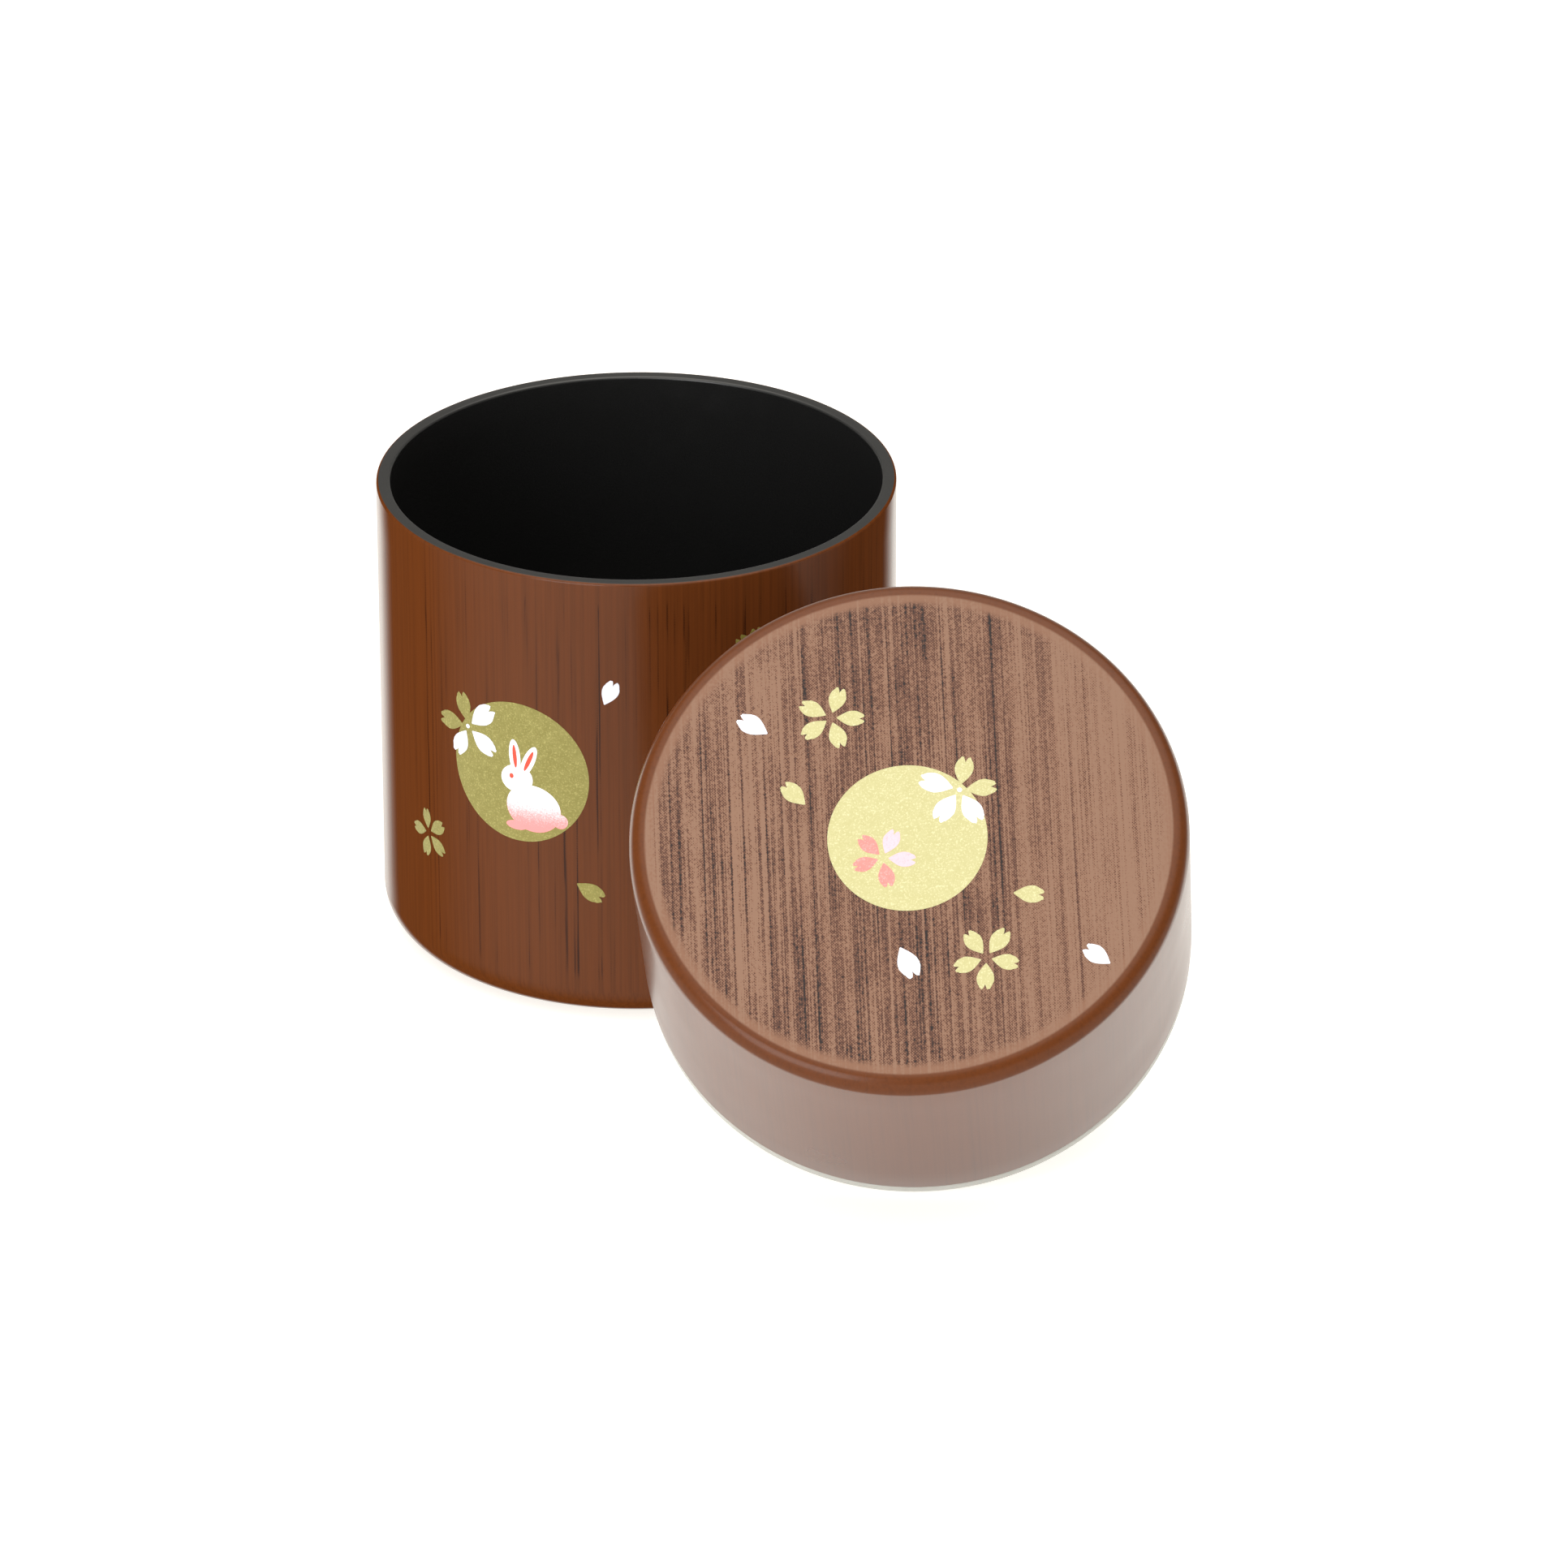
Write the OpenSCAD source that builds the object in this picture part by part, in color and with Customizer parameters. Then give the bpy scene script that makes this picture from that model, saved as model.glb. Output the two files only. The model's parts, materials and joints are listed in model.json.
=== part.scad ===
// Tea caddy: a straight cup, a deep outer lid, and the inner lid that plugs the cup.
// The cup stands open at the origin. The outer lid, with the inner lid in it, leans on the cup
// with its lower edge on the floor and its printed top facing forward.

/* [Cup] */
// Outside diameter of the cup
cup_d = 80; // [60:1:100]
// Height of the cup, from the floor to its rim
cup_h = 74; // [50:1:100]
// Thickness of the cup's side wall
cup_wall = 2.2; // [1.8:0.1:3]
// Thickness of the cup's floor
cup_floor = 2.6; // [2:0.1:4]
// Outside radius of the cup's rounded bottom edge
cup_edge_r = 6; // [4:0.5:9]
// Radius on both edges of the cup's rim
cup_rim_r = 0.4; // [0.2:0.1:0.8]
// Depth of the shallow hollow under the base
base_recess = 0.8; // [0.4:0.1:1.2]
// Width of the foot ring around that hollow
foot_ring_w = 3; // [2:0.5:6]

/* [Outer lid] */
// How far the outer lid's side stands proud of the cup's
lid_overhang = 1; // [0:0.1:2]
// Height of the outer lid, from its rim to its top
lid_h = 36.5; // [20:0.5:60]
// Thickness of the outer lid's side wall
lid_wall = 2.2; // [1.8:0.1:3]
// Thickness of the outer lid's top
lid_top = 2.4; // [2:0.1:4]
// Outside radius of the outer lid's rounded top edge
lid_edge_r = 2.5; // [1.5:0.5:5]
// Inside radius in the corner under the top
lid_corner_r = 1.5; // [1:0.5:3]
// Radius on both edges of the outer lid's rim
lid_rim_r = 0.4; // [0.2:0.1:0.8]

/* [Inner lid] */
// Thickness of the flange that sits between the cup and the outer lid
flange_t = 2; // [1.4:0.1:3]
// How far the flange's edge stands back from the outer lid's side
flange_inset = 0.1; // [0:0.05:0.5]
// Radius on both edges of the flange
flange_edge_r = 0.5; // [0.2:0.1:0.6]
// How far the plug reaches into the cup
plug_depth = 3; // [2.5:0.5:8]
// How far the collar reaches into the outer lid
collar_h = 6; // [4:0.5:12]
// Wall thickness of the plug and of the collar
skirt_wall = 1.4; // [1:0.1:2]
// Thickness of the disc that closes the plug
web_t = 1.2; // [0.8:0.1:2]
// Lead-in radius on the ends of the plug and of the collar
lead_in_r = 0.6; // [0.3:0.1:0.8]

/* [Fits] */
// Radial clearance of the plug in the cup
plug_gap = 0.05; // [0.02:0.01:0.1]
// Radial clearance of the collar in the outer lid
collar_gap = 0.05; // [0.02:0.01:0.1]

/* [Leaning lid] */
// Tilt of the lid's axis from upright, degrees
lean_tilt = 38.5; // [25:0.5:55]
// Direction that the lid's top faces, degrees from +X towards +Y
lean_heading = -94.5; // [-120:0.5:-60]
// Direction from the cup's axis to the lid, degrees from +X towards +Y
lean_bearing = -55.5; // [-80:0.5:-30]
// Gap left where the lid meets the cup's wall
lean_gap = 0.3; // [0.3:0.1:1]

/* [Hidden] */
$fn = 96;

cup_r = cup_d / 2;
lid_r = cup_r + lid_overhang;
cup_bore_r = cup_r - cup_wall;
lid_bore_r = lid_r - lid_wall;
base_r = cup_r - cup_edge_r;
plug_r = cup_bore_r - plug_gap;
plug_bore_r = plug_r - skirt_wall;
collar_r = lid_bore_r - collar_gap;
collar_bore_r = collar_r - skirt_wall;
flange_r = lid_r - flange_inset;
lid_top_z = flange_t + lid_h;

// Overshoot that keeps cutting faces off the faces they cut
cut = 1;

// Rounded edges that bound the lid: [radius and height of the edge's centre line, edge radius]
lid_edges = [
    [plug_r - lead_in_r, lead_in_r - plug_depth, lead_in_r],
    [flange_r - flange_edge_r, flange_edge_r, flange_edge_r],
    [lid_r - lid_rim_r, flange_t + lid_rim_r, lid_rim_r],
    [lid_r - lid_edge_r, lid_top_z - lid_edge_r, lid_edge_r]
];

// Height of the flange's underside, at its middle, that puts the lowest edge on the floor
lean_z = max([for (edge = lid_edges) edge[0] * sin(lean_tilt) - edge[1] * cos(lean_tilt) + edge[2]]);

// Distance from the cup's axis at which the nearest edge just clears the cup's wall
lean_reach = max([for (edge = lid_edges, turn = [0:2:358]) standoff(edge_plan(edge, turn), edge[2])]);

// Plan position of a point on an edge's centre line, seen from the lid's middle
function edge_plan(edge, turn) =
    let (forward = edge[0] * cos(turn) * cos(lean_tilt) + edge[1] * sin(lean_tilt))
    let (sideways = edge[0] * sin(turn))
    [
        forward * cos(lean_heading) - sideways * sin(lean_heading),
        forward * sin(lean_heading) + sideways * cos(lean_heading)
    ];

// Distance along the bearing at which a point with this plan offset clears the cup's wall
function standoff(offset, edge_r) =
    let (clear_r = cup_r + lean_gap + edge_r)
    let (along = offset[0] * cos(lean_bearing) + offset[1] * sin(lean_bearing))
    let (across = offset[1] * cos(lean_bearing) - offset[0] * sin(lean_bearing))
    abs(across) < clear_r ? sqrt(clear_r * clear_r - across * across) - along : 0;

// What lies outside a quarter round of radius r, whose corner points to +X and +Y
module corner_waste(r) {
    difference() {
        square(r + cut);
        circle(r);
    }
}

// Half section of a disc of radius w and height h, with its outer edges rounded
module rounded_half(w, h, bottom_r, top_r) {
    difference() {
        square([w, h]);
        translate([w - bottom_r, bottom_r]) mirror([0, 1]) corner_waste(bottom_r);
        translate([w - top_r, h - top_r]) corner_waste(top_r);
    }
}

// Moves a lid piece from the seated position at the origin to where it leans
module leaning() {
    translate([lean_reach * cos(lean_bearing), lean_reach * sin(lean_bearing), lean_z])
        rotate([0, lean_tilt, lean_heading])
            children();
}

// Cup: straight wall, rounded bottom edge, flat rim and a foot ring
module cup() {
    color("#6e3c23")
        rotate_extrude()
            difference() {
                rounded_half(cup_r, cup_h, cup_edge_r, cup_rim_r);
                translate([0, cup_floor])
                    rounded_half(cup_bore_r, cup_h, cup_edge_r - cup_wall, cup_rim_r);
                translate([cup_bore_r + cup_rim_r, cup_h - cup_rim_r])
                    mirror([1, 0]) corner_waste(cup_rim_r);
                translate([0, -cut]) square([base_r - foot_ring_w, base_recess + cut]);
            }
}

// Outer lid: deep cap with a flat top, open at its rim
module outer_lid() {
    color("#ab7f6b")
        leaning()
            translate([0, 0, flange_t])
                rotate_extrude()
                    difference() {
                        rounded_half(lid_r, lid_h, lid_rim_r, lid_edge_r);
                        translate([0, -cut])
                            rounded_half(lid_bore_r, lid_h - lid_top + cut, lid_rim_r, lid_corner_r);
                        translate([lid_bore_r + lid_rim_r, lid_rim_r])
                            mirror([1, 1]) corner_waste(lid_rim_r);
                    }
}

// Inner lid: a closed plug below the flange and a collar above it
module inner_lid() {
    color("#d2d2c8")
        leaning()
            rotate_extrude()
                difference() {
                    union() {
                        translate([0, -plug_depth])
                            rounded_half(plug_r, plug_depth + flange_t, lead_in_r, lead_in_r);
                        rounded_half(flange_r, flange_t, flange_edge_r, flange_edge_r);
                        rounded_half(collar_r, flange_t + collar_h, lead_in_r, lead_in_r);
                    }
                    translate([0, web_t - plug_depth])
                        square([plug_bore_r, plug_depth - web_t + flange_t]);
                    translate([0, flange_t]) square([collar_bore_r, collar_h + cut]);
                }
}

cup();
outer_lid();
inner_lid();
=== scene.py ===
"""Tea caddy: the looks of its cup, outer lid and inner lid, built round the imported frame. Metres."""
import json
import math
import random

import bmesh
import bpy
from mathutils import Matrix, Vector
from mathutils.geometry import delaunay_2d_cdt


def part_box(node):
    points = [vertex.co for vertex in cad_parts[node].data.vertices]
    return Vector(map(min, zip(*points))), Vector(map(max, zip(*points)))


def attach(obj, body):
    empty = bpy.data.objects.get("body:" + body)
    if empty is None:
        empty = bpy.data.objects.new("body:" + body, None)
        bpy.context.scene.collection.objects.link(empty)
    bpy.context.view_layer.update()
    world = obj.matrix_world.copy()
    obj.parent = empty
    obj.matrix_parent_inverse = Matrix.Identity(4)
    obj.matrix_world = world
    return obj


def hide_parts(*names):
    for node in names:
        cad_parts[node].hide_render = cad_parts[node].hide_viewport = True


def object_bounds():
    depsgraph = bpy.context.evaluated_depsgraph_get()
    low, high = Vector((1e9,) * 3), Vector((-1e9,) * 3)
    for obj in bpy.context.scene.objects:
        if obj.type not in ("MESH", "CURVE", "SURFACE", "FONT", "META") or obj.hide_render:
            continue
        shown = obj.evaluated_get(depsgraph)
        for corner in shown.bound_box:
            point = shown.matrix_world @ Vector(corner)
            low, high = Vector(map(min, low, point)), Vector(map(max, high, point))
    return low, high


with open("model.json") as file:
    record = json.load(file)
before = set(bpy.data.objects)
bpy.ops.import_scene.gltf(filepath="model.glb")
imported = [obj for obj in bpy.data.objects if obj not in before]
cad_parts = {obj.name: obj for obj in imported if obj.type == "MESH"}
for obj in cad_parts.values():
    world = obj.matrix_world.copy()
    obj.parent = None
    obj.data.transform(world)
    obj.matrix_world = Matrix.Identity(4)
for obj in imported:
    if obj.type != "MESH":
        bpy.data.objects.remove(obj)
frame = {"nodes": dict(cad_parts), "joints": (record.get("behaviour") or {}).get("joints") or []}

MM = 0.001

# ---------------------------------------------------------------- sizes read from the frame

CAD_BOX = [list(corner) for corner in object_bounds()]
CUP_LOW, CUP_HIGH = (Vector(corner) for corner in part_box("cup"))
CUP_R = (CUP_HIGH.x - CUP_LOW.x) / 2
CUP_H = CUP_HIGH.z
PULL = next(joint for joint in frame["joints"] if joint["name"] == "outer_lid_pull")
LID_AXIS = Vector(PULL["axis"]).normalized()
LID_RIGHT = Vector((0, 0, 1)).cross(LID_AXIS).normalized()
LID_UP = LID_AXIS.cross(LID_RIGHT)


def extent(node, direction):
    """Lowest and highest reach of a CAD node along a direction."""
    reach = [direction.dot(v.co) for v in frame["nodes"][node].data.vertices]
    return min(reach), max(reach)


def middle(node, direction):
    low, high = extent(node, direction)
    return (low + high) / 2


def half_width(node, direction):
    low, high = extent(node, direction)
    return (high - low) / 2


LID_R = half_width("outer_lid", LID_RIGHT)
LID_RIM, LID_TOP = extent("outer_lid", LID_AXIS)
STOPPER_LOW, STOPPER_HIGH = extent("inner_lid", LID_AXIS)
LID_H = LID_TOP - LID_RIM
LID_MIDDLE = LID_RIGHT * middle("outer_lid", LID_RIGHT) + LID_UP * middle("outer_lid", LID_UP)

# ---------------------------------------------------------------- sizes of the design

SEGMENTS = 288  # steps round a body of revolution
ARC_STEPS = 10
EDGE_STEPS = 16
CORNER_STEPS = 6
SECTION_STEP = 6 * MM  # longest step along a straight stretch of a section
LID_WALL_STEP = 5 * MM  # the same on the outer lid's wall
PAINT = 0.06 * MM
PAINT_UNDER = PAINT * 1.6  # depth of the coat's hidden underside
CUP_WALL = 2.2 * MM
CUP_FLOOR = 2.6 * MM
CUP_EDGE_R = 6 * MM
RIM_R = 0.4 * MM
BASE_RECESS = 0.8 * MM
FOOT_RING_W = 3 * MM
LID_WALL = 2.2 * MM
LID_PLATE = 2.4 * MM
LID_EDGE_R = 2.5 * MM
LID_CORNER_R = 1.5 * MM
FLANGE_T = 2 * MM
FLANGE_R = LID_R - 0.1 * MM
FLANGE_EDGE_R = 0.5 * MM
PLUG_R = CUP_R - CUP_WALL - 0.05 * MM
COLLAR_R = LID_R - LID_WALL - 0.05 * MM
SKIRT_WALL = 1.4 * MM
WEB_T = 1.2 * MM
LEAD_IN_R = 0.6 * MM
GRAIN_LEAN = math.radians(5.6)


# ---------------------------------------------------------------- meshes

def place_in(axis, up, origin):
    """Matrix that takes local +Z to axis and local +Y to up."""
    right = up.cross(axis)
    return Matrix.Translation(origin) @ Matrix((right, up, axis)).transposed().to_4x4()


TURNED_SHARP = math.radians(28)  # edges of a turned body steeper than this stay crisp
PRINT_SHARP = math.radians(40)
UPRIGHT = Matrix.Identity(4)
LEANING = place_in(LID_AXIS, LID_UP, LID_MIDDLE + LID_AXIS * LID_RIM)


def new_object(name, bm, matrix, sharp_angle=None):
    bmesh.ops.recalc_face_normals(bm, faces=bm.faces)
    for face in bm.faces:
        face.smooth = True
    mesh = bpy.data.meshes.new(name)
    bm.to_mesh(mesh)
    bm.free()
    if sharp_angle:
        mesh.set_sharp_from_angle(angle=sharp_angle)
    mesh.transform(matrix)
    obj = bpy.data.objects.new(name, mesh)
    bpy.context.scene.collection.objects.link(obj)
    return obj


def arc(centre, radius, start, end, steps=ARC_STEPS):
    """Points of a section's rounded corner, angles in degrees from +r towards +z."""
    points = []
    for i in range(steps + 1):
        angle = math.radians(start + (end - start) * i / steps)
        points.append((centre[0] + radius * math.cos(angle), centre[1] + radius * math.sin(angle)))
    return points


def revolve(name, profile, matrix):
    """Closed body of revolution from a section's points (r, z); points on the axis become poles."""
    bm = bmesh.new()
    rings = []
    for r, z in profile:
        if r < 1e-7:
            rings.append([bm.verts.new((0, 0, z))])
            continue
        turn = [math.tau * k / SEGMENTS for k in range(SEGMENTS)]
        rings.append([bm.verts.new((r * math.cos(t), r * math.sin(t), z)) for t in turn])
    closed = len(rings[0]) > 1
    pairs = list(zip(rings, rings[1:])) + ([(rings[-1], rings[0])] if closed else [])
    for low, high in pairs:
        for k in range(SEGMENTS):
            n = (k + 1) % SEGMENTS
            corners = [low[k % len(low)], low[n % len(low)], high[n % len(high)], high[k % len(high)]]
            corners = list(dict.fromkeys(corners))
            if len(corners) > 2:
                bm.faces.new(corners)
    return new_object(name, bm, matrix, TURNED_SHARP)


def line(start, end, step):
    """Points between two section points, ends left out, no further apart than step."""
    count = max(1, math.ceil(math.dist(start, end) / step))
    return [
        (start[0] + (end[0] - start[0]) * i / count, start[1] + (end[1] - start[1]) * i / count)
        for i in range(1, count)
    ]


def cup_outside(inset):
    """Outside of the cup from its foot ring to the rim, moved inwards by inset."""
    r = CUP_R - inset
    edge = CUP_EDGE_R - inset
    wall = line((r, CUP_EDGE_R), (r, CUP_H), SECTION_STEP)
    return arc((r - edge, CUP_EDGE_R), edge, -90, 0, EDGE_STEPS) + wall


def build_cup_moulding():
    bore = CUP_R - CUP_WALL
    corner = CUP_EDGE_R - CUP_WALL
    foot_in = CUP_R - CUP_EDGE_R - FOOT_RING_W
    profile = [(0, BASE_RECESS), (foot_in - RIM_R / 2, BASE_RECESS), (foot_in, 0)]
    profile += cup_outside(PAINT)
    profile += arc((CUP_R - PAINT - RIM_R, CUP_H - RIM_R), RIM_R, 0, 90, CORNER_STEPS)
    profile += arc((bore + RIM_R, CUP_H - RIM_R), RIM_R, 90, 180, CORNER_STEPS)
    profile += line((bore, CUP_H - RIM_R), (bore, CUP_FLOOR + corner), SECTION_STEP)
    profile += arc((bore - corner, CUP_FLOOR + corner), corner, 0, -90)
    profile += line((bore - corner, CUP_FLOOR), (0, CUP_FLOOR), SECTION_STEP) + [(0, CUP_FLOOR)]
    return revolve("cup_moulding", profile, UPRIGHT)


def build_cup_paint():
    """Thin coat on the cup's outside: it stops on the foot ring and just under the rim's flat."""
    top = arc((CUP_R - RIM_R, CUP_H - RIM_R), RIM_R, 0, 78, 8)
    under = PAINT * 0.9
    back = [(r - under, z - under) for r, z in reversed(top)]
    inside = list(reversed(cup_outside(PAINT_UNDER)))
    return revolve("cup_paint", cup_outside(0) + top + back + inside, UPRIGHT)


def lid_outside(inset):
    """Outside of the outer lid from its rim to the middle of its top, moved inwards by inset."""
    r = LID_R - inset
    edge = LID_EDGE_R - inset
    side = line((r, RIM_R), (r, LID_H - LID_EDGE_R), LID_WALL_STEP)
    fillet = arc((LID_R - LID_EDGE_R, LID_H - LID_EDGE_R), edge, 0, 90, EDGE_STEPS)
    top = line((LID_R - LID_EDGE_R, LID_H - inset), (0, LID_H - inset), SECTION_STEP)
    return side + fillet + top + [(0, LID_H - inset)]


def build_lid_moulding():
    bore = LID_R - LID_WALL
    under = LID_H - LID_PLATE
    profile = [(0, under)] + line((0, under), (bore - LID_CORNER_R, under), SECTION_STEP)
    profile += arc((bore - LID_CORNER_R, under - LID_CORNER_R), LID_CORNER_R, 90, 0)
    profile += line((bore, under - LID_CORNER_R), (bore, RIM_R), LID_WALL_STEP)
    profile += arc((bore + RIM_R, RIM_R), RIM_R, 180, 270, CORNER_STEPS)
    profile += arc((LID_R - PAINT - RIM_R, RIM_R), RIM_R, 270, 360, CORNER_STEPS)
    return revolve("lid_moulding", profile + lid_outside(PAINT), LEANING)


def build_lid_paint():
    """Thin coat on the outer lid's outside, from the rim's corner to the middle of the top."""
    rim = arc((LID_R - RIM_R, RIM_R), RIM_R, -40, 0, 4)
    back = [(r - PAINT * 1.2, z + PAINT * 0.4) for r, z in reversed(rim)]
    inside = list(reversed(lid_outside(PAINT_UNDER)))
    return revolve("lid_paint", inside + back + rim + lid_outside(0), LEANING)


def build_stopper():
    """Inner lid: closed plug, flange that shows under the outer lid, and collar."""
    low = STOPPER_LOW - LID_RIM
    high = STOPPER_HIGH - LID_RIM
    flange_low = -FLANGE_T
    web = low + WEB_T
    plug_bore = PLUG_R - SKIRT_WALL
    collar_bore = COLLAR_R - SKIRT_WALL
    profile = [(0, low)] + line((0, low), (PLUG_R - LEAD_IN_R, low), SECTION_STEP)
    profile += arc((PLUG_R - LEAD_IN_R, low + LEAD_IN_R), LEAD_IN_R, -90, 0, CORNER_STEPS)
    profile += [(PLUG_R, flange_low)]
    profile += arc((FLANGE_R - FLANGE_EDGE_R, flange_low + FLANGE_EDGE_R), FLANGE_EDGE_R, -90, 0, 8)
    profile += arc((FLANGE_R - FLANGE_EDGE_R, -FLANGE_EDGE_R), FLANGE_EDGE_R, 0, 90, 8)
    profile += [(COLLAR_R, 0)]
    profile += arc((COLLAR_R - LEAD_IN_R, high - LEAD_IN_R), LEAD_IN_R, 0, 90, CORNER_STEPS)
    profile += [(collar_bore, high), (collar_bore, 0), (plug_bore, 0), (plug_bore, web)]
    profile += line((plug_bore, web), (0, web), SECTION_STEP) + [(0, web)]
    return revolve("stopper", profile, LEANING)


# ---------------------------------------------------------------- printed motifs, in millimetres

PRINT_SINK = 0.02  # how far a print's underside reaches into the paint
GOLD_HEIGHT = 0.03
INK_HEIGHT = 0.05
HUB_HEIGHT = 0.06
MARKS_HEIGHT = 0.065
HUB_R = 0.36
LID_MOON = ((-0.1, -1.0), 11.7)
CUP_MOON = ((-18.4, 40.8), 11.55)

# Blossoms: colour, middle, and each petal's direction in degrees and reach
LID_BLOSSOMS = [
    ("gold", (-12.4, 18.0), [(77, 5.0), (0, 4.9), (-70, 5.1), (221, 5.1), (155, 5.0)]),
    ("gold", (12.4, -19.7), [(59, 5.3), (-10, 4.8), (-88, 5.0), (203, 4.9), (129, 5.0)]),
    ("gold", (7.1, 7.0), [(82, 5.4), (8, 5.4)]),
    ("white", (7.1, 7.0), [(164, 6.1), (237, 5.9), (301, 5.9)]),
    ("coral", (-3.5, -4.4), [(136, 4.7), (202, 4.5), (-78, 4.7)]),
    ("blush", (-3.5, -4.4), [(69, 4.8), (-1, 4.8)]),
]
CUP_BLOSSOMS = [
    ("gold", (-27.4, 46.2), [(104, 5.5), (181, 5.8)]),
    ("white", (-27.4, 46.2), [(40, 6.3), (-34, 6.0), (246, 5.6)]),
    ("gold", (-36.9, 24.8), [(101, 3.9), (34, 4.5), (-34, 4.5), (258, 4.2), (184, 4.1)]),
    ("gold", (19.3, 59.8), [(90, 5.0), (18, 5.0), (-54, 5.0), (198, 5.0), (126, 5.0)]),
]
# Loose petals: colour, middle, direction of the notched tip in degrees, length
LID_PETALS = [
    ("white", (-23.7, 16.2), 151, 5.1),
    ("white", (1.0, -20.8), -62, 5.3),
    ("white", (28.5, -18.7), 147, 4.6),
    ("gold", (-17.0, 5.3), 137, 4.7),
    ("gold", (18.0, -9.3), -2, 4.6),
]
CUP_PETALS = [
    ("white", (-3.6, 55.9), 67, 4.3),
    ("gold", (-6.9, 22.3), -30, 4.8),
]
# The small rabbit's ellipses: middle, half axes and turn, from the rabbit's own middle
RABBIT_AT = (-16.3, 38.0)
RABBIT = [
    ((0.5, -2.9), (4.5, 3.9), -8),
    ((-2.2, 1.7), (2.7, 2.3), 10),
    ((-2.5, 5.3), (0.95, 2.9), 5),
    ((-0.2, 4.9), (0.95, 2.9), -24),
    ((4.9, -4.4), (1.2, 1.2), 0),
    ((-2.3, -6.2), (1.8, 0.75), 0),
]
RABBIT_RED = [
    ((-2.5, 5.4), (0.34, 1.9), 5),
    ((-0.15, 5.0), (0.34, 1.9), -24),
    ((-3.1, 2.0), (0.36, 0.42), 0),
]


def on_lid(across, up, height):
    return LEANING @ Vector((across * MM, up * MM, LID_H + height * MM))


def on_cup(across, up, height):
    angle = across * MM / CUP_R
    r = CUP_R + height * MM
    return Vector((r * math.sin(angle), -r * math.cos(angle), up * MM))


def turned(point, degrees, origin):
    angle = math.radians(degrees)
    x, y = point
    return (
        origin[0] + x * math.cos(angle) - y * math.sin(angle),
        origin[1] + x * math.sin(angle) + y * math.cos(angle),
    )


def ellipse(middle_at, half, degrees=0, count=48):
    turns = [math.tau * k / count for k in range(count)]
    return [turned((half[0] * math.cos(t), half[1] * math.sin(t)), degrees, middle_at) for t in turns]


# A petal's form, as parts of its length or of its width
PETAL_STEPS = 14
PETAL_WIDTH = 0.6
PETAL_FOOT = 0.03
PETAL_SHOULDER = 0.78
PETAL_LOBE = 0.10
PETAL_NOTCH = 0.13
PETAL_REACH = 0.94
PETAL_WAVER = 0.018


def petal(base, degrees, length, rng):
    """Teardrop with a narrow base and two round lobes either side of a small notch."""
    width = PETAL_WIDTH * length
    places = [PETAL_FOOT + (1 - PETAL_FOOT) * k / PETAL_STEPS for k in range(PETAL_STEPS + 1)]
    side = [(t, math.sin(PETAL_SHOULDER * math.pi * t) ** 1.1 / 2) for t in places]
    tip = []
    for n in range(PETAL_STEPS + 1):
        k = 1 - 2 * (n + 1) / (PETAL_STEPS + 2)
        lobe = PETAL_LOBE * math.sin(math.pi * abs(k) ** 0.9) - PETAL_NOTCH * (1 - abs(k)) ** 1.6
        tip.append((1 + lobe, side[-1][1] * k))
    outline = side + tip + [(t, -w) for t, w in reversed(side)]
    points = []
    for t, w in outline:
        waver = 1 + rng.uniform(-PETAL_WAVER, PETAL_WAVER)
        points.append(turned((PETAL_REACH * t * length * waver, w * width * waver), degrees, base))
    return points


BLOSSOM_GAP = 0.15  # bare part of a petal's reach, round the blossom's middle
BLOSSOM_SWAY = 2  # degrees


def blossom(centre, petals, rng):
    outlines = []
    for degrees, reach in petals:
        gap = BLOSSOM_GAP * reach
        base = turned((gap, 0), degrees, centre)
        sway = rng.uniform(-BLOSSOM_SWAY, BLOSSOM_SWAY)
        outlines.append(petal(base, degrees + sway, reach - gap, rng))
    return outlines


def loose_petal(centre, degrees, length, rng):
    return petal(turned((-length / 2, 0), degrees, centre), degrees, length, rng)


def inside(point, outline):
    """True if the point lies inside the closed outline."""
    x, y = point
    hit = False
    for (x0, y0), (x1, y1) in zip(outline, outline[1:] + outline[:1]):
        if (y0 > y) != (y1 > y) and x < x0 + (y - y0) * (x1 - x0) / (y1 - y0):
            hit = not hit
    return hit


def grid_inside(outlines, coords):
    """Points about 1 mm apart inside the outlines, so that a plate can follow a round wall."""
    low = [math.floor(min(c[i] for c in coords)) for i in (0, 1)]
    high = [math.ceil(max(c[i] for c in coords)) for i in (0, 1)]
    grid = [(low[0] + 0.37 + i, low[1] + 0.41 + j) for i in range(high[0] - low[0])
            for j in range(high[1] - low[1])]
    return [point for point in grid if any(inside(point, outline) for outline in outlines)]


def build_print(name, outlines, wrap, body, height):
    """Thin closed plate over the union of the outlines, laid on the cup or on the lid's top."""
    coords = []
    faces = []
    for outline in outlines:
        faces.append(list(range(len(coords), len(coords) + len(outline))))
        coords += outline
    coords += grid_inside(outlines, coords)
    flat = delaunay_2d_cdt([Vector(c) for c in coords], [], faces, 1, 1e-5)
    bm = bmesh.new()
    top = [bm.verts.new(wrap(v.x, v.y, height)) for v in flat[0]]
    under = [bm.verts.new(wrap(v.x, v.y, -PRINT_SINK)) for v in flat[0]]
    used = {}
    for tri in flat[2]:
        bm.faces.new([top[i] for i in tri])
        bm.faces.new([under[i] for i in reversed(tri)])
        for a, b in zip(tri, tri[1:] + tri[:1]):
            used.setdefault(tuple(sorted((a, b))), []).append((a, b))
    for sides in used.values():
        if len(sides) == 1:
            a, b = sides[0]
            bm.faces.new([top[b], top[a], under[a], under[b]])
    for vert in [v for v in bm.verts if not v.link_faces]:
        bm.verts.remove(vert)
    obj = new_object(name, bm, UPRIGHT, PRINT_SHARP)
    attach(obj, body)
    return obj


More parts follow.
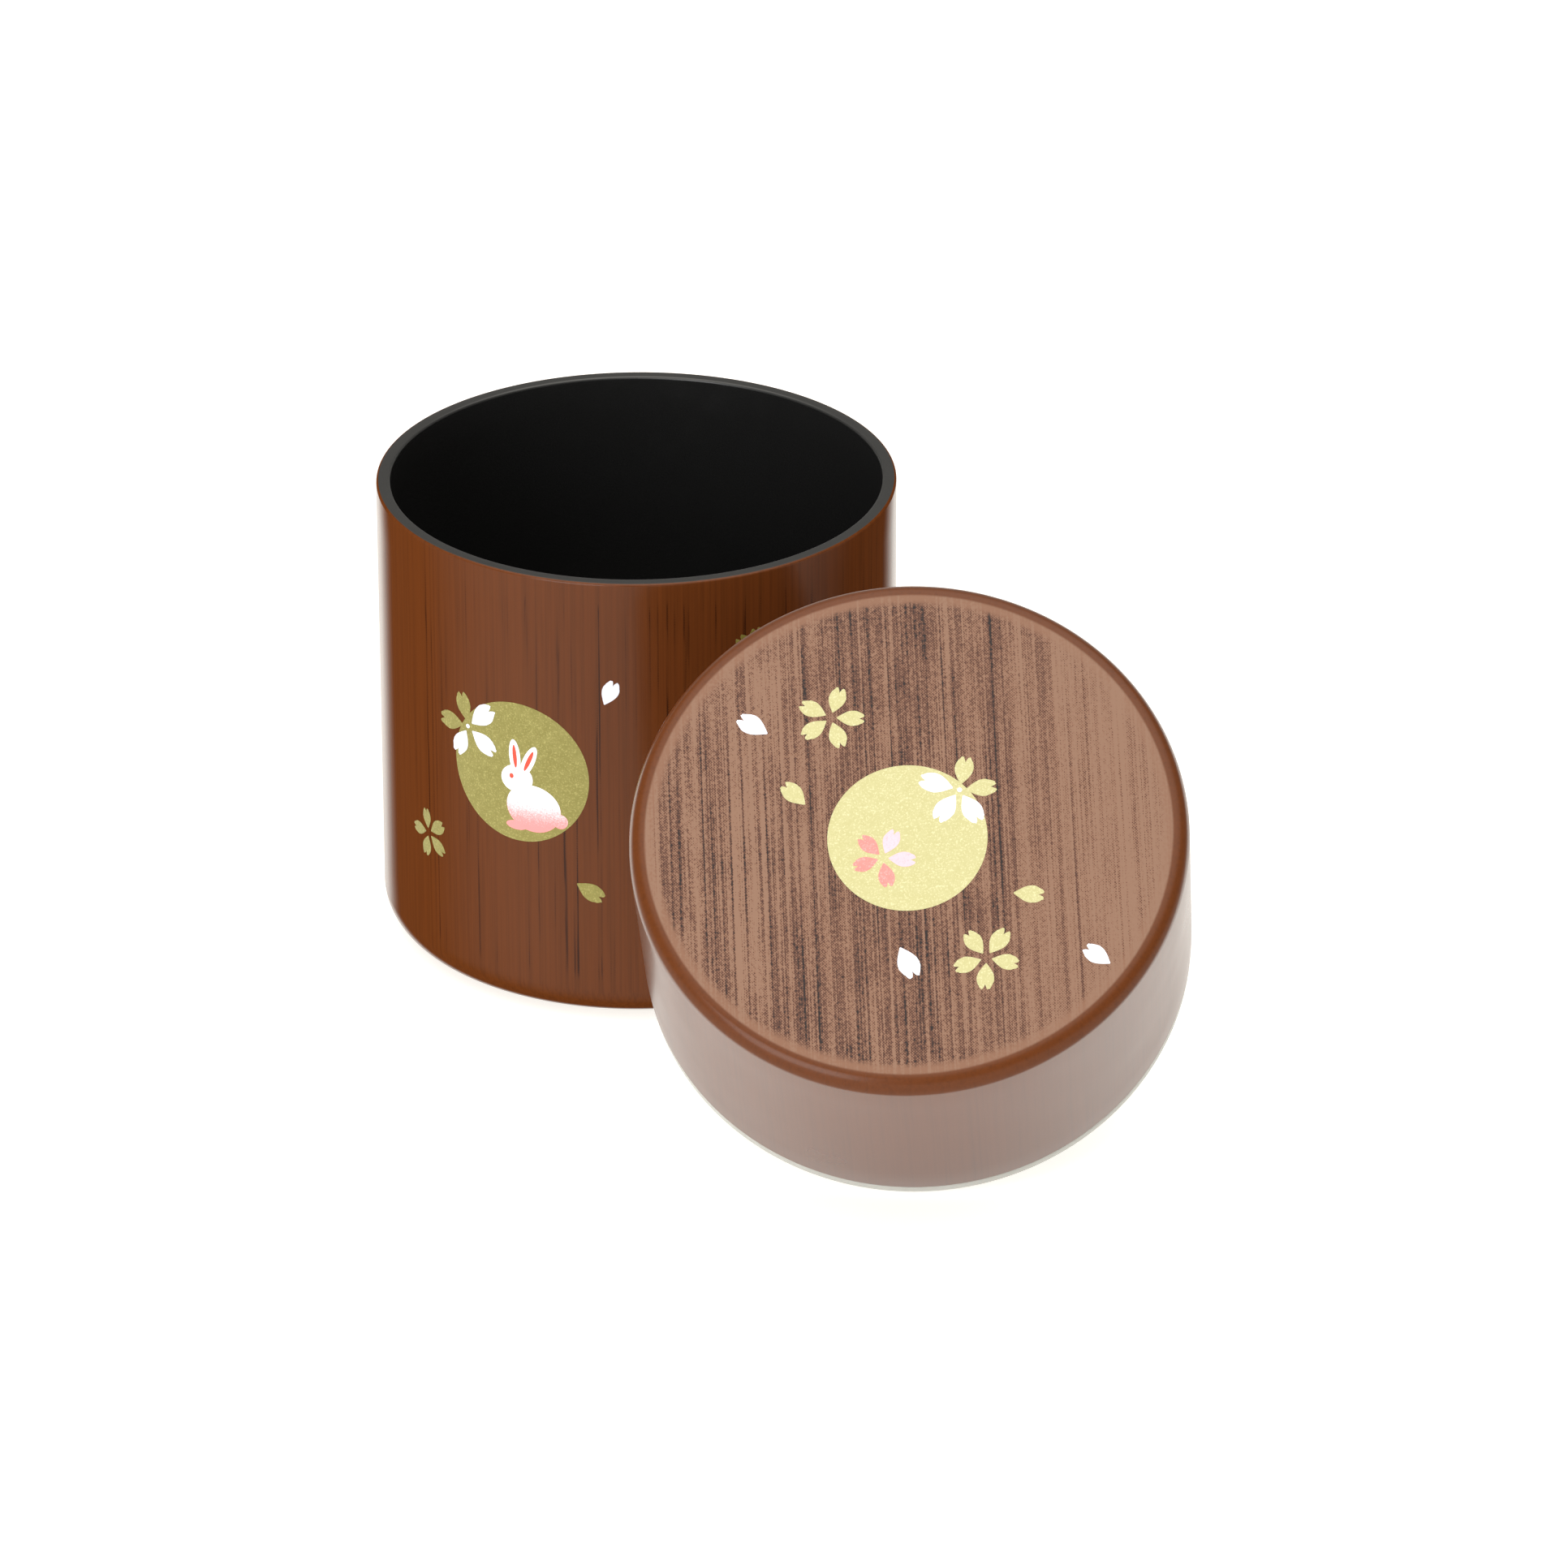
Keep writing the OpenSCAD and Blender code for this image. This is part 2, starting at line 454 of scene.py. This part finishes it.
def outlines_of(blossoms, petals, colour, rng):
    found = []
    for kind, centre, spread in blossoms:
        if kind == colour:
            found += blossom(centre, spread, rng)
    return found + [loose_petal(c, d, n, rng) for kind, c, d, n in petals if kind == colour]


# ---------------------------------------------------------------- shader graphs

def rgb(red, green, blue):
    """Linear colour from display values of 0 to 255."""
    return tuple(((c / 255 + 0.055) / 1.055) ** 2.4 if c > 10 else c / 255 / 12.92
                 for c in (red, green, blue)) + (1,)


class Graph:
    """Builds one material's node tree; every value passed in is a socket or a number."""

    def __init__(self, name):
        self.material = bpy.data.materials.new(name)
        self.material.use_nodes = True
        self.tree = self.material.node_tree
        self.shader = self.tree.nodes["Principled BSDF"]

    def add(self, kind, values=None, **settings):
        node = self.tree.nodes.new(kind)
        for key, value in settings.items():
            setattr(node, key, value)
        for key, value in (values or {}).items():
            self.put(node.inputs[key], value)
        return node

    def put(self, socket, value):
        if isinstance(value, bpy.types.NodeSocket):
            self.tree.links.new(value, socket)
        else:
            socket.default_value = value

    def math(self, operation, *values):
        return self.add("ShaderNodeMath", dict(enumerate(values)), operation=operation).outputs[0]

    def vector(self, x, y, z):
        return self.add("ShaderNodeCombineXYZ", {0: x, 1: y, 2: z}).outputs[0]

    def split(self, vector):
        return self.add("ShaderNodeSeparateXYZ", {0: vector}).outputs

    def noise(self, vector, scale, detail=2.0, roughness=0.5):
        node = self.add("ShaderNodeTexNoise", {"Vector": vector, "Scale": scale, "Detail": detail,
                                              "Roughness": roughness})
        return node.outputs["Fac"]

    def ramp(self, value, low, high, to_low=0.0, to_high=1.0, smooth=True):
        node = self.add("ShaderNodeMapRange", {0: value, 1: low, 2: high, 3: to_low, 4: to_high},
                        clamp=True)
        node.interpolation_type = "SMOOTHSTEP" if smooth else "LINEAR"
        return node.outputs[0]

    def mix(self, factor, first, second):
        node = self.add("ShaderNodeMix", data_type="RGBA")
        for index, value in ((0, factor), (6, first), (7, second)):
            self.put(node.inputs[index], value)
        return node.outputs[2]

    def bump(self, height, strength, distance):
        return self.add("ShaderNodeBump", {"Strength": strength, "Distance": distance,
                                           "Height": height}).outputs[0]

    def place_mm(self, matrix=UPRIGHT):
        """Object coordinates in millimetres, in the frame that matrix describes."""
        coords = self.add("ShaderNodeTexCoord").outputs["Object"]
        back = matrix.inverted()
        local = self.add("ShaderNodeMapping", {"Vector": coords, "Location": back.to_translation(),
                                               "Rotation": back.to_euler()}).outputs[0]
        node = self.add("ShaderNodeVectorMath", {0: local, "Scale": 1 / MM}, operation="SCALE")
        return node.outputs[0]

    def finish(self, **sockets):
        for key, value in sockets.items():
            self.put(self.shader.inputs[key.replace("_", " ")], value)
        return self.material


# ---------------------------------------------------------------- wood grain and paint

SCREEN_PITCH = 0.42  # distance between the print's halftone dots, mm

# Streaks in the grain: how often they change across it and along it, per millimetre, weight, detail
LID_GRAIN = [
    (1.9, 0.004, 0.55, 2.0),
    (3.8, 0.03, 0.6, 1.0),
    (0.9, 0.05, 0.3, 2.0),
    (0.3, 0.01, 0.32, 3.0),
    (0.25, 0.12, 0.3, 3.0),
]
CUP_GRAIN = [
    (1.7, 0.003, 0.62, 2.0),
    (1.1, 0.05, 0.4, 2.0),
    (3.4, 0.04, 0.25, 1.0),
]
LID_GRAIN_DEPTH = 7.0  # where in the streaks' noise the lid's flat print is cut

CUP_LIGHT = rgb(91, 47, 19)
CUP_DARK = rgb(82, 42, 17)
CUP_INK = rgb(46, 21, 9)
# Grain tones of the lid's flat print, made paler and pinker by a painted sheen of the overhead light
LID_LIGHT_TONE_WITH_SHEEN = rgb(125, 94, 76)
LID_DARK_TONE_WITH_SHEEN = rgb(120, 85, 66)
LID_INK = rgb(74, 45, 34)
LID_LINE = rgb(26, 18, 18)

# Clear coat's weight, from facing (0) to glancing (1): weight when facing, then (start, end, change)
CUP_GLOSS = (0.36, (0.16, 0.5, -0.35), (0.7, 0.88, 1.0))
LID_GLOSS = (0.06, (0.42, 0.57, 0.84), (0.6, 0.85, -0.6))
CUP_COAT_ROUGHNESS = 0.2
LID_COAT_ROUGHNESS = 0.15
CUP_PAINT_ROUGHNESS = 0.36
LID_PAINT_ROUGHNESS = 0.3
LID_SPECULAR = 0.15

# The cup's print: where it starts and ends in mm above the floor, and weights and levels of its grain
CUP_PRINT_FOOT = (6.5, 9.0)
CUP_PRINT_TOP = (72.5, 74.5)
CUP_FRAY = 6.0  # how unevenly the streaks end under the rim
CUP_DENSE_SIDE = 0.6  # radians round the cup from its front to where the grain is densest
CUP_DENSE_GAIN = 0.035
CUP_DOTS = 0.055
CUP_TONE_LEVELS = (-0.1, 0.2)
CUP_INK_LEVELS = (0.17, 0.185)

# The lid's print: where it ends in mm, and weights and levels of its grain
LID_PRINT_EDGE = (36.4, 37.8)  # radii
# radii where the sheened flat colour gives way to the side's, past the flat's edge: a painted highlight
# ring on the start of the rounded edge
LID_HIGHLIGHT_RING_EDGE = (38.35, 38.8)
LID_PRINT_DEPTH = (0.4, 0.1)  # below the top
LID_SPECKLE = 0.55
LID_DOTS = 0.14
LID_TONE_LEVELS = (-0.2, 0.05)
LID_INK_LEVELS = (-0.01, 0.02)
LID_LINE_LEVELS = (0.15, 0.19)
SIDE_TONE_LEVELS = (-0.12, 0.3)
LID_CALM_RIGHT = (4.0, 30.0)  # across the lid: the grain grows weaker and sparser towards the right
LID_CALM_LEFT = (-24.0, -10.0)  # and sparser towards the left


def grain_field(graph, parts, across_x, across_y, along):
    """Long straight streaks of several widths; 0 on average, rarely beyond 0.2 either way."""
    total = -sum(part[2] for part in parts) / 2
    for across, down, weight, detail in parts:
        rates = ((across_x, across), (across_y, across), (along, down))
        vector = graph.vector(*(graph.math("MULTIPLY", place, rate) for place, rate in rates))
        total = graph.math("MULTIPLY_ADD", graph.noise(vector, 1.0, detail, 0.6), weight, total)
    return total


def screen(graph, across, across_rate, along):
    """Halftone screen: dots on a diagonal lattice, from -1 between dots to 1 on them."""
    waves = [graph.math("COSINE", graph.math("MULTIPLY", place, rate))
             for place, rate in ((across, across_rate), (along, math.tau / SCREEN_PITCH))]
    return graph.math("MULTIPLY", *waves)


def paint_surface(graph, colour, roughness, place):
    """Semi-gloss sprayed paint: a fine orange peel and faint cloudiness in its gloss."""
    peel = graph.noise(place, 0.9, 3.0, 0.55)
    cloud = graph.noise(place, 0.06, 2.0, 0.5)
    return graph.finish(
        Base_Color=colour,
        Roughness=graph.ramp(cloud, 0.3, 0.7, roughness - 0.03, roughness + 0.03, smooth=False),
        Normal=graph.bump(peel, 0.05, 0.05 * MM),
    )


def glancing_gloss(graph, curve, roughness):
    """Clear coat whose weight follows how glancing the look is."""
    facing = graph.add("ShaderNodeLayerWeight", {"Blend": 0.5}).outputs["Facing"]
    weight = curve[0]
    for start, end, change in curve[1:]:
        weight = graph.math("ADD", graph.ramp(facing, start, end, 0.0, change), weight)
    graph.put(graph.shader.inputs["Coat Weight"], weight)
    graph.shader.inputs["Coat Roughness"].default_value = roughness


def cup_paint_material():
    """Brown paint with fine dark streaks that stop at the foot and fray out under the rim."""
    graph = Graph("cup_paint")
    place = graph.place_mm()
    x, y, z = graph.split(place)
    angle = graph.math("ARCTAN2", x, graph.math("MULTIPLY", y, -1.0))
    denser = graph.math("COSINE", graph.math("SUBTRACT", angle, CUP_DENSE_SIDE))
    field = graph.math("MULTIPLY_ADD", denser, CUP_DENSE_GAIN, grain_field(graph, CUP_GRAIN, x, y, z))
    dots_round = round(math.tau * CUP_R / MM / SCREEN_PITCH)
    level = graph.math("MULTIPLY_ADD", screen(graph, angle, float(dots_round), z), CUP_DOTS, field)
    fray = graph.noise(graph.vector(x, y, 0.0), 0.9, 2.0, 0.6)
    ends = graph.math("MULTIPLY_ADD", fray, CUP_FRAY, z)
    printed = graph.math("MULTIPLY", graph.ramp(z, *CUP_PRINT_FOOT),
                         graph.ramp(ends, *CUP_PRINT_TOP, 1.0, 0.0))
    ink = graph.math("MULTIPLY", graph.ramp(level, *CUP_INK_LEVELS), printed)
    base = graph.mix(graph.ramp(field, *CUP_TONE_LEVELS), CUP_LIGHT, CUP_DARK)
    graph.shader.inputs["Specular IOR Level"].default_value = 0.0
    glancing_gloss(graph, CUP_GLOSS, CUP_COAT_ROUGHNESS)
    return paint_surface(graph, graph.mix(ink, base, CUP_INK), CUP_PAINT_ROUGHNESS, place)


def lid_grain_field(graph, x, y):
    """Grain of the lid's flat top: it leans a little, is speckled, and thins out at both sides."""
    lean = (math.cos(GRAIN_LEAN), math.sin(GRAIN_LEAN))
    across = graph.math("MULTIPLY_ADD", y, lean[1], graph.math("MULTIPLY", x, lean[0]))
    along = graph.math("MULTIPLY_ADD", y, lean[0], graph.math("MULTIPLY", x, -lean[1]))
    field = grain_field(graph, LID_GRAIN, across, LID_GRAIN_DEPTH, along)
    speckle = graph.noise(graph.vector(x, y, 3.0), 2.4, 1.0, 0.5)
    field = graph.math("MULTIPLY_ADD", graph.math("SUBTRACT", speckle, 0.5), LID_SPECKLE, field)
    fewer = graph.math("ADD", graph.ramp(x, *LID_CALM_RIGHT, 0.02, -0.11),
                       graph.ramp(x, *LID_CALM_LEFT, -0.07, 0.0))
    return graph.math("MULTIPLY_ADD", field, graph.ramp(x, *LID_CALM_RIGHT, 0.9, 0.5), fewer)


def lid_paint_material():
    """Flat top with printed wood grain, made paler by a painted sheen of the overhead light; the
    rounded edge and the side are painted as the cup.
    """
    graph = Graph("lid_paint")
    place = graph.place_mm(LEANING)
    x, y, z = graph.split(place)
    radius = graph.math("SQRT", graph.math("MULTIPLY_ADD", x, x, graph.math("MULTIPLY", y, y)))
    top = [LID_H / MM - depth for depth in LID_PRINT_DEPTH]
    on_top = graph.math("MULTIPLY", graph.ramp(z, *top), graph.ramp(radius, *LID_PRINT_EDGE, 1.0, 0.0))
    field = lid_grain_field(graph, x, y)
    dots = screen(graph, x, math.tau / SCREEN_PITCH, y)
    level = graph.math("MULTIPLY_ADD", dots, LID_DOTS, field)
    ink = graph.math("MULTIPLY", graph.ramp(level, *LID_INK_LEVELS), on_top)
    line = graph.math("MULTIPLY", graph.ramp(field, *LID_LINE_LEVELS), on_top)
    side_tone = graph.ramp(grain_field(graph, CUP_GRAIN, x, y, z), *SIDE_TONE_LEVELS)
    side = graph.mix(side_tone, CUP_LIGHT, CUP_DARK)
    # the flat's grain tones, with the painted sheen of the overhead light
    flat = graph.mix(graph.ramp(field, *LID_TONE_LEVELS), LID_LIGHT_TONE_WITH_SHEEN, LID_DARK_TONE_WITH_SHEEN)
    # painted highlight ring: the sheened flat colour runs past the flat onto the rounded edge
    base = graph.mix(graph.ramp(radius, *LID_HIGHLIGHT_RING_EDGE), flat, side)
    base = graph.mix(ink, base, LID_INK)
    base = graph.mix(line, base, LID_LINE)
    graph.shader.inputs["Specular IOR Level"].default_value = LID_SPECULAR
    glancing_gloss(graph, LID_GLOSS, LID_COAT_ROUGHNESS)
    return paint_surface(graph, base, LID_PAINT_ROUGHNESS, place)


# ---------------------------------------------------------------- mouldings and inks

BLACK = rgb(26, 26, 26)
BLACK_ROUGHNESS = (0.16, 0.24)
RIM_ROUGHER = 0.2
STOPPER_TONES = (rgb(172, 171, 165), rgb(186, 185, 180))
STOPPER_RADIUS = (1.0, 1.0, 0.9)

# Inks: colour, and colour of its flecks
# One gold ink in two copies: paler on the lid's top with a painted sheen of the overhead light, darker
# on the cup's upright side with painted shade
GOLD_LIT_ON_LID = (rgb(166, 161, 112), rgb(204, 201, 162))
GOLD_SHADED_ON_CUP = (rgb(126, 119, 55), rgb(177, 170, 104))
WHITE = (rgb(222, 225, 236), rgb(206, 209, 224))
CORAL = (rgb(212, 118, 112), rgb(226, 168, 168))
BLUSH = (rgb(214, 178, 190), rgb(220, 150, 160))
RED = (rgb(206, 62, 38), rgb(220, 96, 70))
RABBIT_TONES = (rgb(238, 238, 246), rgb(228, 140, 140))
RABBIT_BLUSH = (38.5, 31.0)  # heights between which the rabbit turns pink, mm
GOLD_SHEEN = {"metallic": 0.2, "roughness": 0.4}
FLECKS = 0.5


def black_material(rim_height=None):
    """Unpainted glossy black moulding; the flat of the cup's rim is satin."""
    graph = Graph("black_moulding")
    place = graph.place_mm()
    z = graph.split(place)[2]
    swirl = graph.noise(place, 0.25, 3.0, 0.6)
    gloss = graph.ramp(swirl, 0.3, 0.7, *BLACK_ROUGHNESS, smooth=False)
    if rim_height:
        rim = graph.ramp(z, rim_height - 0.6, rim_height - 0.2)
        gloss = graph.math("MULTIPLY_ADD", rim, RIM_ROUGHER, gloss)
    peel = graph.noise(place, 0.5, 2.0, 0.5)
    return graph.finish(Base_Color=BLACK, Roughness=gloss, Normal=graph.bump(peel, 0.03, 0.04 * MM))


def stopper_material():
    """Milky polyethylene, a little uneven in its translucency."""
    graph = Graph("stopper")
    place = graph.place_mm()
    cloud = graph.noise(place, 0.12, 3.0, 0.6)
    grain = graph.noise(place, 2.2, 2.0, 0.5)
    return graph.finish(
        Base_Color=graph.mix(cloud, *STOPPER_TONES),
        Subsurface_Weight=0.35,
        Subsurface_Radius=STOPPER_RADIUS,
        Subsurface_Scale=1.2 * MM,
        Specular_IOR_Level=0.4,
        Roughness=graph.ramp(grain, 0.3, 0.7, 0.4, 0.5, smooth=False),
        Normal=graph.bump(grain, 0.06, 0.05 * MM),
    )


def ink_material(name, tones, metallic=0.0, roughness=0.42):
    """Printed ink with the fine speckle of its pigment."""
    graph = Graph(name)
    place = graph.place_mm()
    fleck = graph.noise(place, 3.6, 2.0, 0.7)
    mottle = graph.noise(place, 0.8, 3.0, 0.6)
    spots = graph.math("MULTIPLY", graph.ramp(fleck, 0.52, 0.66), FLECKS)
    spots = graph.math("MULTIPLY_ADD", graph.ramp(mottle, 0.35, 0.75), FLECKS * 0.3, spots)
    return graph.finish(
        Base_Color=graph.mix(spots, *tones),
        Metallic=metallic,
        Roughness=graph.ramp(mottle, 0.3, 0.7, roughness - 0.05, roughness + 0.05, smooth=False),
        Normal=graph.bump(fleck, 0.12, 0.02 * MM),
    )


def rabbit_material():
    """White ink that turns to speckled pink towards the feet."""
    graph = Graph("rabbit_print")
    place = graph.place_mm()
    z = graph.split(place)[2]
    fleck = graph.noise(place, 5.0, 2.0, 0.7)
    drop = graph.ramp(z, *RABBIT_BLUSH, 0.0, 1.0, smooth=False)
    level = graph.math("MULTIPLY_ADD", fleck, 0.9, drop)
    return graph.finish(
        Base_Color=graph.mix(graph.ramp(level, 0.6, 1.25), *RABBIT_TONES),
        Roughness=graph.ramp(fleck, 0.3, 0.7, 0.36, 0.48, smooth=False),
        Normal=graph.bump(fleck, 0.1, 0.02 * MM),
    )


# ---------------------------------------------------------------- assembly

def dress(obj, material):
    obj.data.materials.clear()
    obj.data.materials.append(material)


def build_shells():
    black = black_material(CUP_H / MM)
    black_lid = black_material()
    pieces = [
        (build_cup_moulding(), "cup", "cup", black, "black_moulding"),
        (build_cup_paint(), "cup", "cup", cup_paint_material(), "cup_shell"),
        (build_lid_moulding(), "outer_lid", "outer_lid", black_lid, "black_moulding"),
        (build_lid_paint(), "outer_lid", "outer_lid", lid_paint_material(), "lid_shell"),
        (build_stopper(), "inner_lid", "inner_lid", stopper_material(), "stopper"),
    ]
    for obj, body, node, material, slot in pieces:
        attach(obj, body)
        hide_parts(node)
        dress(obj, material)


def build_side_prints(side, wrap, body, motifs, inks, rng):
    """All the prints of one colour on one side make one piece; the white blossom has a small hub."""
    blossoms, petals, moon = motifs
    for colour, (ink, slot, height) in inks.items():
        outlines = outlines_of(blossoms, petals, colour, rng)
        if colour == "gold":
            outlines.append(ellipse(moon[0], (moon[1], moon[1]), count=120))
        if outlines:
            dress(build_print(f"{side}_prints_{colour}", outlines, wrap, body, height), ink)
    centre = next(middle_at for colour, middle_at, _ in blossoms if colour == "white")
    hub = ellipse(centre, (HUB_R, HUB_R), count=20)
    dress(build_print(f"{side}_blossom_hub", [hub], wrap, body, HUB_HEIGHT), inks["white"][0])


def rabbit_outlines(ellipses, count):
    return [ellipse((RABBIT_AT[0] + centre[0], RABBIT_AT[1] + centre[1]), half, degrees, count)
            for centre, half, degrees in ellipses]


def build_prints():
    rng = random.Random(7)
    white = ink_material("white_print", WHITE)
    inks = {
        "gold": (ink_material("gold_print_lit_lid", GOLD_LIT_ON_LID, **GOLD_SHEEN), "gold_print", GOLD_HEIGHT),
        "white": (white, "white_print", INK_HEIGHT),
        "coral": (ink_material("coral_print", CORAL), "pink_print", INK_HEIGHT),
        "blush": (ink_material("blush_print", BLUSH), "pink_print", INK_HEIGHT),
    }
    build_side_prints("lid", on_lid, "outer_lid", (LID_BLOSSOMS, LID_PETALS, LID_MOON), inks, rng)
    # the cup's darker copy of the gold ink, with painted shade
    gold = ink_material("gold_print_shaded_cup", GOLD_SHADED_ON_CUP, **GOLD_SHEEN)
    inks = {"gold": (gold, "gold_print", GOLD_HEIGHT), "white": (white, "white_print", INK_HEIGHT)}
    build_side_prints("cup", on_cup, "cup", (CUP_BLOSSOMS, CUP_PETALS, CUP_MOON), inks, rng)
    figure = build_print("cup_rabbit", rabbit_outlines(RABBIT, 48), on_cup, "cup", INK_HEIGHT)
    dress(figure, rabbit_material())
    red_parts = rabbit_outlines(RABBIT_RED, 24)
    marks = build_print("cup_rabbit_marks", red_parts, on_cup, "cup", MARKS_HEIGHT)
    dress(marks, ink_material("red_print", RED))


# ---------------------------------------------------------------- studio

VIEW_ELEVATION = math.radians(26.2)
VIEW_DISTANCE = 1.3375
VIEW_LENS = 202.8
VIEW_AIM_X = 0.9 * MM  # the aim's step to the right of the object's middle

FLOOR_R = 8
FLOOR_GREYS = (0.44, 0.46)
FLOOR_GLOW = (1.0, 0.98, 0.92, 1)
FLOOR_GLOW_STRENGTH = 0.8

# Studio's brightness by height: sine of the elevation above the horizon, brightness
SKY = [(0.0, 1.15), (0.05, 1.15), (0.14, 0.3), (0.62, 0.3), (0.86, 2.6), (1.0, 3.6)]
SKY_TINT = (1.0, 0.97, 0.9)

SOFTBOX_SPOT = (-0.5, -0.95, 0.4)
SOFTBOX_AIM = (0, 0, 0.05)
SOFTBOX_SIZE = 0.6
SOFTBOX_POWER = 8


def build_floor():
    """Plain pale floor that glows a little, as a light table does, so that shadows on it stay faint."""
    bm = bmesh.new()
    bmesh.ops.create_circle(bm, cap_ends=True, segments=96, radius=FLOOR_R)
    floor = new_object("floor", bm, UPRIGHT)
    graph = Graph("floor")
    cloud = graph.noise(graph.place_mm(), 0.002, 2.0, 0.5)
    greys = [(grey, grey, grey, 1) for grey in FLOOR_GREYS]
    graph.shader.inputs["Emission Color"].default_value = FLOOR_GLOW
    graph.shader.inputs["Emission Strength"].default_value = FLOOR_GLOW_STRENGTH
    floor.data.materials.append(graph.finish(Base_Color=graph.mix(cloud, *greys), Roughness=0.8))


def build_world():
    """Plain soft studio: a broad bright ceiling over dimmer walls, and a pale horizon."""
    world = bpy.data.worlds.new("studio")
    bpy.context.scene.world = world
    world.use_nodes = True
    nodes, links = world.node_tree.nodes, world.node_tree.links
    split = nodes.new("ShaderNodeSeparateXYZ")
    links.new(nodes.new("ShaderNodeTexCoord").outputs["Generated"], split.inputs[0])
    ramp = nodes.new("ShaderNodeValToRGB")
    ramp.color_ramp.interpolation = "EASE"
    brightest = max(level for _, level in SKY)
    elements = ramp.color_ramp.elements
    while len(elements) < len(SKY):
        elements.new(0.5)
    for element, (where, _) in zip(elements, SKY):
        element.position = where
    for element, (_, level) in zip(elements, SKY):
        element.color = (*[level / brightest * tint for tint in SKY_TINT], 1)
    links.new(split.outputs[2], ramp.inputs[0])
    links.new(ramp.outputs[0], nodes["Background"].inputs["Color"])
    nodes["Background"].inputs["Strength"].default_value = brightest


def build_softbox():
    light = bpy.data.lights.new("softbox_left", "AREA")
    light.size = SOFTBOX_SIZE
    light.energy = SOFTBOX_POWER
    spot = Vector(SOFTBOX_SPOT)
    obj = bpy.data.objects.new("softbox_left", light)
    obj.location = spot
    obj.rotation_euler = (Vector(SOFTBOX_AIM) - spot).to_track_quat("-Z", "Y").to_euler()
    bpy.context.scene.collection.objects.link(obj)


def build_camera():
    low, high = (Vector(corner) for corner in CAD_BOX)
    aim = (low + high) / 2 + Vector((VIEW_AIM_X, 0, 0))
    back = Vector((0, -math.cos(VIEW_ELEVATION), math.sin(VIEW_ELEVATION)))
    camera = bpy.data.cameras.new("camera")
    camera.sensor_width = 36
    camera.lens = VIEW_LENS
    camera.clip_start = 0.01
    camera.clip_end = 50
    obj = bpy.data.objects.new("camera", camera)
    obj.location = aim + back * VIEW_DISTANCE
    obj.rotation_euler = back.to_track_quat("Z", "Y").to_euler()
    bpy.context.scene.collection.objects.link(obj)
    bpy.context.scene.camera = obj


build_shells()
build_prints()
build_floor()
build_world()
build_softbox()
build_camera()
bpy.context.scene.view_settings.view_transform = "Standard"
